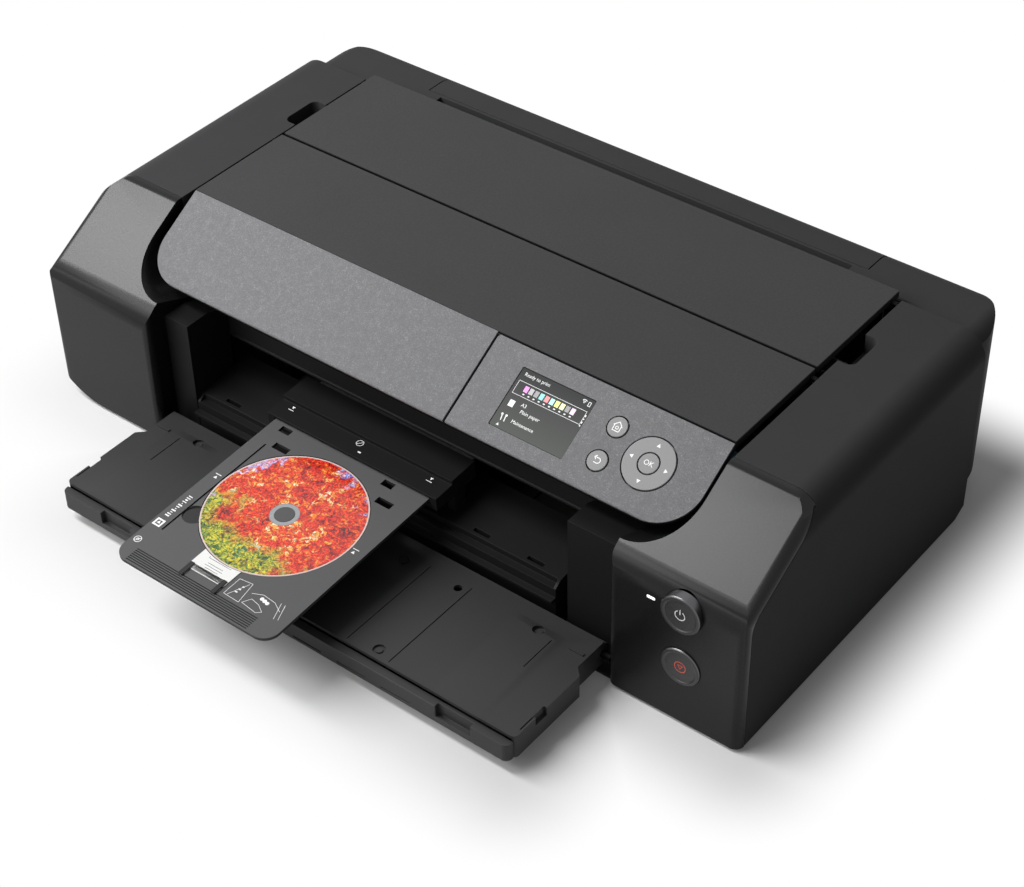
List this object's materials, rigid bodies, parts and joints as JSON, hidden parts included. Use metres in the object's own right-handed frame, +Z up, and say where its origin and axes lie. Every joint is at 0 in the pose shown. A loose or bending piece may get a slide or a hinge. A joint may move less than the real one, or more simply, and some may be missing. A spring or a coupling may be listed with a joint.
{
  "type": "inkjet photo printer",
  "caption": "Wide desktop inkjet photo printer with hinged top and rear covers, a sloping control panel, a fold-down output tray and a disc tray in its mouth.",
  "frame": {"origin": "on the table, under the middle of the box that holds the printer with its trays", "axes": "+X to the right seen from the front, +Y to the back, +Z up"},
  "size_m": [0.639, 0.5102, 0.1694],
  "materials": {
    "case_black": "fine grain",
    "front_black": "satin, grey in the light",
    "lid_charcoal": "fine grain",
    "silver_flake": "metallic flake paint",
    "screen_glass": "polished",
    "button_silver": "satin silver",
    "key_dark": "gloss with a bright rim",
    "lamp_white": "translucent white",
    "tray_dark": "satin",
    "disc_tray_grey": "satin",
    "disc_print": "printed",
    "label_card": "card",
    "mouth_black": "fine grain",
    "engine_plastic": "plain",
    "sheet_steel": "zinc plated",
    "pin_steel": "plain",
    "rubber": "matte",
    "brass": "plain",
    "motor_steel": "satin",
    "gear_white": "plain",
    "pump_dark": "plain",
    "felt": "felt",
    "board_green": "solder mask",
    "head_metal": "satin",
    "strip_film": "film"
  },
  "bodies": {
    "case": {"base_case": "case_black", "rubber_feet": "rubber", "case_screws": "pin_steel", "left_front_cover": "front_black", "right_front_cover": "front_black", "left_side_cover": "case_black", "right_side_cover": "case_black", "rear_cover": "case_black", "hinge_pins": "pin_steel", "status_lamp": "lamp_white", "disc_tray_guide": "mouth_black", "output_guide": "mouth_black", "mouth_panels": "mouth_black", "left_frame_plate": "sheet_steel", "right_frame_plate": "sheet_steel", "carriage_rail": "sheet_steel", "carriage_belt": "rubber", "carriage_motor": "motor_steel", "encoder_strip": "strip_film", "platen": "engine_plastic", "feed_motor": "motor_steel", "pinch_holder": "engine_plastic", "star_wheel_holder": "engine_plastic", "purge_unit": "pump_dark", "waste_absorber": "felt", "power_supply": "motor_steel", "circuit_boards": "board_green", "mains_inlet": "mouth_black", "data_sockets": "sheet_steel", "rear_feed_base": "engine_plastic"},
    "top_cover": {"top_cover": "lid_charcoal", "slope_panel": "silver_flake", "operation_panel": "silver_flake", "screen": "screen_glass", "panel_board": "board_green"},
    "home_button": {"home_button": "button_silver"},
    "back_button": {"back_button": "button_silver"},
    "arrow_ring": {"arrow_ring": "button_silver"},
    "ok_button": {"ok_button": "button_silver"},
    "rear_tray_cover": {"rear_tray_cover": "lid_charcoal"},
    "paper_support": {"paper_support": "tray_dark"},
    "manual_feed_cover": {"manual_feed_cover": "case_black"},
    "output_tray": {"output_tray": "tray_dark"},
    "tray_extension": {"tray_extension": "tray_dark"},
    "disc_tray": {"disc_tray": "disc_tray_grey", "disc": "disc_print", "tray_label": "label_card"},
    "power_button": {"power_button": "key_dark"},
    "stop_button": {"stop_button": "key_dark"},
    "carriage": {"carriage": "engine_plastic", "print_head": "head_metal", "ink_tanks": "engine_plastic"},
    "motor_pulley": {"motor_pulley": "brass"},
    "idler_pulley": {"idler_pulley": "brass"},
    "feed_roller": {"feed_roller": "motor_steel"},
    "eject_roller": {"eject_roller": "engine_plastic"},
    "idler_gear": {"idler_gear": "gear_white"},
    "motor_pinion": {"motor_pinion": "brass"},
    "pick_roller": {"pick_roller": "rubber"},
    "pressure_plate": {"pressure_plate": "engine_plastic"}
  },
  "joints": [
    {"name": "top_cover_hinge", "type": "hinge", "parent": "case", "child": "top_cover", "pos_m": [0, 0.08439, 0.1644], "axis": [-1, 0, 0], "range_deg": [0, 60]},
    {"name": "rear_tray_cover_hinge", "type": "hinge", "parent": "case", "child": "rear_tray_cover", "pos_m": [0, 0.19009, 0.1644], "axis": [-1, 0, 0], "range_deg": [0, 100]},
    {"name": "paper_support_slide", "type": "slide", "parent": "rear_tray_cover", "child": "paper_support", "axis": [0, -1, 0], "range_m": [0, 0.06]},
    {"name": "manual_feed_cover_hinge", "type": "hinge", "parent": "case", "child": "manual_feed_cover", "pos_m": [0, 0.2506, 0.0735], "axis": [-1, 0, 0], "range_deg": [0, 60]},
    {"name": "output_tray_hinge", "type": "hinge", "parent": "case", "child": "output_tray", "pos_m": [0, -0.09591, 0.02], "axis": [-1, 0, 0], "range_deg": [0, 10]},
    {"name": "tray_extension_slide", "type": "slide", "parent": "output_tray", "child": "tray_extension", "axis": [0, -1, 0], "range_m": [0, 0.06]},
    {"name": "disc_tray_slide", "type": "slide", "parent": "case", "child": "disc_tray", "axis": [0, 0.9986, 0.0523], "range_m": [-0.04, 0.15]},
    {"name": "home_press", "type": "slide", "parent": "top_cover", "child": "home_button", "axis": [0, 0.515, -0.8572], "range_m": [0, 0.0008], "stiffness_N_per_m": 400},
    {"name": "back_press", "type": "slide", "parent": "top_cover", "child": "back_button", "axis": [0, 0.515, -0.8572], "range_m": [0, 0.0008], "stiffness_N_per_m": 400},
    {"name": "ring_press", "type": "slide", "parent": "top_cover", "child": "arrow_ring", "axis": [0, 0.515, -0.8572], "range_m": [0, 0.0008], "stiffness_N_per_m": 400},
    {"name": "ok_press", "type": "slide", "parent": "top_cover", "child": "ok_button", "axis": [0, 0.515, -0.8572], "range_m": [0, 0.0008], "stiffness_N_per_m": 400},
    {"name": "power_press", "type": "slide", "parent": "case", "child": "power_button", "axis": [0, 1, 0], "range_m": [0, 0.0015], "stiffness_N_per_m": 400},
    {"name": "stop_press", "type": "slide", "parent": "case", "child": "stop_button", "axis": [0, 1, 0], "range_m": [0, 0.0015], "stiffness_N_per_m": 400},
    {"name": "carriage_slide", "type": "slide", "parent": "case", "child": "carriage", "axis": [1, 0, 0], "range_m": [-0.45, 0]},
    {"name": "motor_pulley_spin", "type": "hinge", "parent": "case", "child": "motor_pulley", "pos_m": [-0.27, 0.08009, 0.102], "axis": [0, 0, 1], "continuous": true},
    {"name": "idler_pulley_spin", "type": "hinge", "parent": "case", "child": "idler_pulley", "pos_m": [0.27, 0.08009, 0.102], "axis": [0, 0, 1], "continuous": true},
    {"name": "feed_roller_spin", "type": "hinge", "parent": "case", "child": "feed_roller", "pos_m": [0, 0.05409, 0.06657], "axis": [1, 0, 0], "continuous": true},
    {"name": "eject_roller_spin", "type": "hinge", "parent": "case", "child": "eject_roller", "pos_m": [0, -0.01191, 0.06511], "axis": [1, 0, 0], "continuous": true},
    {"name": "idler_gear_spin", "type": "hinge", "parent": "case", "child": "idler_gear", "pos_m": [-0.304, 0.02116, 0.06278], "axis": [1, 0, 0], "continuous": true},
    {"name": "motor_pinion_spin", "type": "hinge", "parent": "case", "child": "motor_pinion", "pos_m": [-0.304, 0.06992, 0.03916], "axis": [1, 0, 0], "continuous": true},
    {"name": "pick_roller_spin", "type": "hinge", "parent": "case", "child": "pick_roller", "pos_m": [0, 0.1261, 0.133], "axis": [1, 0, 0], "continuous": true},
    {"name": "pressure_plate_swing", "type": "hinge", "parent": "case", "child": "pressure_plate", "pos_m": [0, 0.17516, 0.14865], "axis": [-1, 0, 0], "range_deg": [0, 3]}
  ],
  "couplings": [
    {"joint": "motor_pulley_spin", "follows": "carriage_slide", "rad_per_m": 112.36},
    {"joint": "idler_pulley_spin", "follows": "carriage_slide", "rad_per_m": 112.36},
    {"joint": "eject_roller_spin", "follows": "feed_roller_spin", "ratio": 1},
    {"joint": "idler_gear_spin", "follows": "feed_roller_spin", "ratio": -1.75},
    {"joint": "motor_pinion_spin", "follows": "feed_roller_spin", "ratio": -2}
  ]
}
